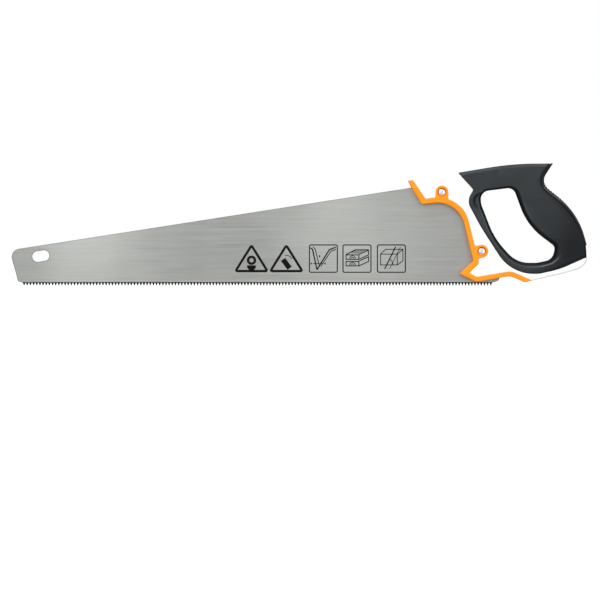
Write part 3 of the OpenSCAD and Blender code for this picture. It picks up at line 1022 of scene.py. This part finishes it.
def make_grip(core):
    """The soft rubber round the hand opening, hollow where the core runs through it."""
    a, b = pair_up(SEAM_OUTLINE, OPENING_OUTLINE, GRIP_PAIRS, STATION_GAP)
    stations = len(a)
    places = between(a, b, spread(FACE_POINTS))
    seam, seam_edge, _ = nearest(places, SEAM_OUTLINE, SEAM_EDGES)
    outer, _, _ = nearest(places, HANDLE_OUTLINE)
    inside = outer - seam > 0.4
    height = relief(places)
    drop = np.minimum(seam_edge, SEAM_DEPTH) * (1 - fillet(seam, seam_edge))
    height[inside] -= drop[inside]
    height = height.reshape(stations, -1)
    places = places.reshape(stations, -1, 2)
    wall_steps = np.linspace(-1, 1, WALL_POINTS + 2)[1:-1]
    build = Builder()
    rims = []
    for i in range(stations):
        face = at(places[i], -height[i])
        back = [(x, -y, z) for x, y, z in reversed(face)]
        inner = [(b[i][0], height[i][-1] * s, b[i][1]) for s in wall_steps]
        outer = [(a[i][0], -height[i][0] * s, a[i][1]) for s in wall_steps]
        rims.append(build.loop(face + inner + back + outer))
    build.skins(rims + rims[:1])
    grip = build.object("charcoal_grip", CHARCOAL, smooth=50)
    cutter = core.copy()
    scene.collection.objects.link(cutter)
    carve(grip, cutter, smooth=50)
    paint_light_and_wear(grip)
    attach(grip, "root")
    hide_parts("soft_grip")


STRAP_PAIRS = [
    ((289.2, 140.4), (288.5, 139.8)), ((291.7, 140.3), (287.4, 138)), ((287, 133), (283.7, 132.4)),
    ((283, 126), (280, 126.5)), ((281.4, 120), (278.4, 119.6)), ((283.2, 113.4), (281.3, 111.2)),
    ((293, 105.3), (291.2, 103.1)), ((303.5, 96.6), (301.8, 94.4)), ((309, 91.5), (307.3, 89.5)),
    ((318, 77.5), (316.2, 76.4)), ((324, 66), (322.2, 65.2)), ((328, 54), (326.4, 53.5)),
    ((330.6, 46.4), (328.9, 46.4))]
SEAM_DEPTH = 2.4
# How many steps the strap's face has, and how many points its rear and its seat on the grip
STRAP_FACE = 16
STRAP_WALL = 8
STRAP_SEAT = 2
STRAP_STATION_GAP = 0.4
STRAP_PROUD = 0.25
STRAP_EDGE = 0.7
RIB_PITCH = 3.5
RIB_HEIGHT = 0.6
# Where the ribs fade in and out, in mm along the strap from the top horn
RIBS_START = (27, 34)
RIBS_END = (58, 72)


def make_strap():
    """The ribbed strip down the grip's rear, paler on its ribs, with a painted highlight on its lower
    rim.
    """
    a, b, travel = open_pairs(HANDLE_OUTLINE, SEAM_OUTLINE, STRAP_PAIRS, STRAP_STATION_GAP)
    share = spread(STRAP_FACE)
    places = between(b, a, share)
    seam, _, _ = nearest(places, SEAM_OUTLINE)
    height = relief(places, on_strap=True) + STRAP_PROUD - STRAP_EDGE * (1 - fillet(seam, STRAP_EDGE))
    stations = len(a)
    ends = np.minimum(travel, travel[-1] - travel)
    height = height.reshape(stations, -1) - 0.7 * (1 - fillet(ends, 0.8))[:, None]
    places = places.reshape(stations, -1, 2)
    ribs = 0.5 - 0.5 * np.cos(2 * np.pi * travel / RIB_PITCH)
    ribs *= ease(travel, *RIBS_START) * (1 - ease(travel, *RIBS_END)) * RIB_HEIGHT
    build = Builder()
    rims = []
    for i in range(stations):
        out = a[i] - b[i]
        out = out / max(np.linalg.norm(out), 1e-6)
        face = []
        for j, (p, y) in enumerate(zip(places[i], height[i])):
            lift = ribs[i] * ease(np.linalg.norm(p - places[i][0]), 0.4, 1.4)
            q = p + out * (lift + STRAP_PROUD) * ease(share[j], 0.5, 1)
            face.append((q[0], -(y + 0.8 * lift), q[1]))
        x, y, z = face[-1]
        wall = [(x, y * s, z) for s in np.linspace(1, -1, STRAP_WALL + 2)[1:-1]]
        back = [(x, -y, z) for x, y, z in reversed(face)]
        x, y, z = face[0]
        inner = [(x, -y * s, z) for s in np.linspace(1, -1, STRAP_SEAT + 2)[1:-1]]
        rims.append(build.loop(face + wall + back + inner))
    build.skins(rims)
    for rim in (rims[0], rims[-1]):
        build.faces.append(tuple(rim))
    strap = build.object("ribbed_strap", STRAP, smooth=50)
    ribbed = ease(travel, *RIBS_START) * (1 - ease(travel, 56, 72))
    outward = ease(share, 0.45, 0.95)
    round_rim = np.concatenate([outward, np.ones(STRAP_WALL), outward[::-1], np.zeros(STRAP_SEAT)])
    # Paler on the ribs and darker elsewhere; glint is a painted highlight along the rounded rim
    glint = ease(travel, 52, 66) * (1 - ease(travel, 92, 106))
    light_and_wear = (0.85 * ribbed - 0.75)[:, None] + 0.95 * glint[:, None] * round_rim
    give(strap, "light_and_wear", light_and_wear.ravel())
    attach(strap, "root")
    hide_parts("back_strap")


# ---------------------------------------------------------------- fasteners

def screw_profile(way, seat, height, radius):
    """(radius, y) points of a head with a rounded rim and a low dome, from its seat outwards."""
    rim = 0.55
    shoulder = seat + height * 0.45
    points = [(radius, way * seat), (radius, way * shoulder)]
    for k in range(1, 6):
        a = math.pi / 2 * k / 5
        points.append((radius - rim * (1 - math.cos(a)), way * (shoulder + rim * math.sin(a))))
    top = shoulder + rim
    for k in range(1, 8):
        a = math.pi / 2 * k / 8
        points.append(((radius - rim) * math.cos(a),
                       way * (top + (seat + height - top) * math.sin(a))))
    points.append((0, way * (seat + height)))
    return points


def directions(degrees):
    """The unit vector at an angle, and the one square to it."""
    a = math.radians(degrees)
    return np.array([math.cos(a), math.sin(a)]), np.array([-math.sin(a), math.cos(a)])


def cross_cutter(centre, top, depth):
    """A tapering cross for a screw head, from above its top inwards."""
    build = Builder()
    outlines = []
    for arm, half in ((2.3, 0.62), (1.1, 0.34)):
        corners = []
        for turn in range(4):
            along, side = directions(90 * turn + 20)
            for reach_out, offset in ((arm, -half), (arm, half), (half, half)):
                corners.append(np.array(centre) + along * reach_out + side * offset)
        outlines.append(corners)
    build.slab(outlines, top - 1, top + depth)
    return build.object("cross_cutter", PLATED)


def box_cutter(centre, size, y_low, y_high, angle):
    """A bar between two levels of y, turned by angle degrees."""
    build = Builder()
    along, side = directions(angle)
    corners = [np.array(centre) + along * s * size[0] / 2 + side * t * size[1] / 2
               for s, t in ((-1, -1), (1, -1), (1, 1), (-1, 1))]
    build.slab(corners, y_low, y_high)
    return build.object("box_cutter", PLATED)


def make_fasteners():
    for place, centre in zip(("upper", "lower"), BOLTS):
        head_top = reach(f"{place}_screw")
        profile = [(0, 3.0), (1.6, 3.0), (2, 2.6), (2, -WELL_FLOOR)]
        profile += screw_profile(-1, WELL_FLOOR, head_top - WELL_FLOOR, HEAD_RADIUS)
        screw = turned(f"{place}_saw_screw", centre, profile, PLATED)
        carve(screw, cross_cutter(centre, -head_top, 1.5))
        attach(screw, "root")
        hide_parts(f"{place}_screw")
        nut_top = reach(f"{place}_nut")
        profile = [(0, -5.0), (3.1, -5.0), (3.3, -4.8), (3.3, WELL_FLOOR)]
        profile += screw_profile(1, WELL_FLOOR, nut_top - WELL_FLOOR, HEAD_RADIUS)
        nut = turned(f"{place}_sleeve_nut", centre, profile, PLATED)
        carve(nut, box_cutter(centre, (12, 1.2), nut_top - 0.9, nut_top + 2, 30))
        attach(nut, "root")
        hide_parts(f"{place}_nut")


make_blade()
make_print()
make_trim()
make_grip(make_core())
make_strap()
make_fasteners()

# ---------------------------------------------------------------- stage, light and camera


# How bright the backdrop is for what it lights, by how far its direction leans back along Y
GLOW = [(-1.0, 0.68), (-0.8, 0.64), (-0.4, 0.24), (0.4, 0.24), (0.55, 0.5), (0.7, 0.5),
        (0.8, 0.05), (0.94, 0.05), (1.0, 0.3)]
TOP_GLOW = 0.5
UNDER_GLOW = 0.6


def make_floor():
    """White paper that glows a little, so that it is as bright as the backdrop far away."""
    half = 20.0
    mesh = bpy.data.meshes.new("floor")
    mesh.from_pydata([(-half, -half, 0), (half, -half, 0), (half, half, 0), (-half, half, 0)],
                     [], [(0, 1, 2, 3)])
    made = material("floor_paper", (0.5, 0.5, 0.5), 1.0, Specular_IOR_Level=0.0,
                    Emission_Color=(1, 1, 1, 1), Emission_Strength=0.4)
    n = Nodes(made)
    n.bump(n.noise(2, 2), 0.05, 0.2)
    mesh.materials.append(made)
    floor = add("floor", mesh)
    floor.visible_diffuse = False
    floor.visible_glossy = False


def sun(name, place, strength, spread_degrees, glints=True):
    """Even, soft light from a direction, with or without highlights."""
    data = bpy.data.lights.new(name, "SUN")
    data.energy = strength
    data.angle = math.radians(spread_degrees)
    lamp = add(name, data)
    lamp.rotation_euler = Vector(place).to_track_quat("Z", "Y").to_euler()
    lamp.visible_glossy = glints


def make_world():
    """White to the camera. To the saw it is bright in front, above and below, dimmer at the sides
    and uneven behind, so that rounded edges fall away into shade."""
    world = bpy.data.worlds.new("studio")
    scene.world = world
    world.use_nodes = True
    background = world.node_tree.nodes["Background"]
    background.inputs["Color"].default_value = (1, 1, 1, 1)
    n = Nodes(world)
    rise = n.axis(2, "Generated")
    around = n.new("ValToRGB")
    n.put(n.level(n.axis(1, "Generated"), -1, 1, 0, 1), around.inputs["Fac"])
    stops = around.color_ramp.elements
    for place, _ in GLOW[1:-1]:
        stops.new((place + 1) / 2)
    for stop, (place, glow) in zip(stops, GLOW):
        stop.position, stop.color = (place + 1) / 2, (glow, glow, glow, 1)
    above = n.level(rise, 0.6, 0.95, 0.0, TOP_GLOW, "SMOOTHSTEP")
    under = n.level(rise, -0.4, -0.9, 0.0, UNDER_GLOW, "SMOOTHSTEP")
    tilt = n.level(rise, -0.3, 0.25, 0.8, 1.15, "SMOOTHSTEP")
    lit = n.math("MULTIPLY", around.outputs["Color"], tilt)
    lit = n.math("ADD", lit, n.math("ADD", above, under))
    camera = n.new("LightPath").outputs["Is Camera Ray"]
    unseen = n.math("MULTIPLY", n.math("SUBTRACT", 1.0, camera), lit)
    n.put(n.math("ADD", camera, unseen), background.inputs["Strength"])


# Upright soft boxes before the blade: place along X and width in metres, strength in watts. Their
# height, and how far before the blade they stand, are in metres too.
SOFT_BOXES = {"toe_box": (-0.255, 0.06, 0.075), "middle_box": (0.05, 0.1, 0.055)}
BOX_HEIGHT = 0.35
BOX_DISTANCE = 0.2


def soft_box(name, x, width, strength):
    """A soft box that faces the saw and lays a pale band across the satin steel."""
    data = bpy.data.lights.new(name, "AREA")
    data.shape = "RECTANGLE"
    data.size, data.size_y = width, BOX_HEIGHT
    data.energy = strength
    light = add(name, data)
    light.location = (x, -BOX_DISTANCE, BOX_HEIGHT / 2)
    light.rotation_euler = (math.pi / 2, 0, 0)
    light.visible_camera = False


def make_camera():
    """A long lens at the blade's level, looking along +Y, with the saw above the middle."""
    view_width, distance, height = 0.6906, 6.0, 0.03
    middle_x, middle_z = 1.32 * MM, -16.7 * MM
    data = bpy.data.cameras.new("camera")
    data.sensor_width = 36
    data.lens = data.sensor_width * distance / view_width
    data.shift_y = (middle_z - height) / view_width
    data.clip_end = 60
    camera = add("camera", data)
    camera.location = (middle_x, -distance, height)
    camera.rotation_euler = (math.pi / 2, 0, 0)
    scene.camera = camera


make_floor()
sun("key", (-0.55, -1.0, 0.5), 1.3, 40)
sun("front", (0.7, -1.0, 0.1), 0.7, 40)
sun("top", (0.0, -0.45, 0.9), 1.2, 35)
sun("back", (0.1, 0.6, 0.8), 1.7, 60, glints=False)
for box, (place, width, strength) in SOFT_BOXES.items():
    soft_box(box, place, width, strength)
make_world()
make_camera()
scene.view_settings.view_transform = "Standard"
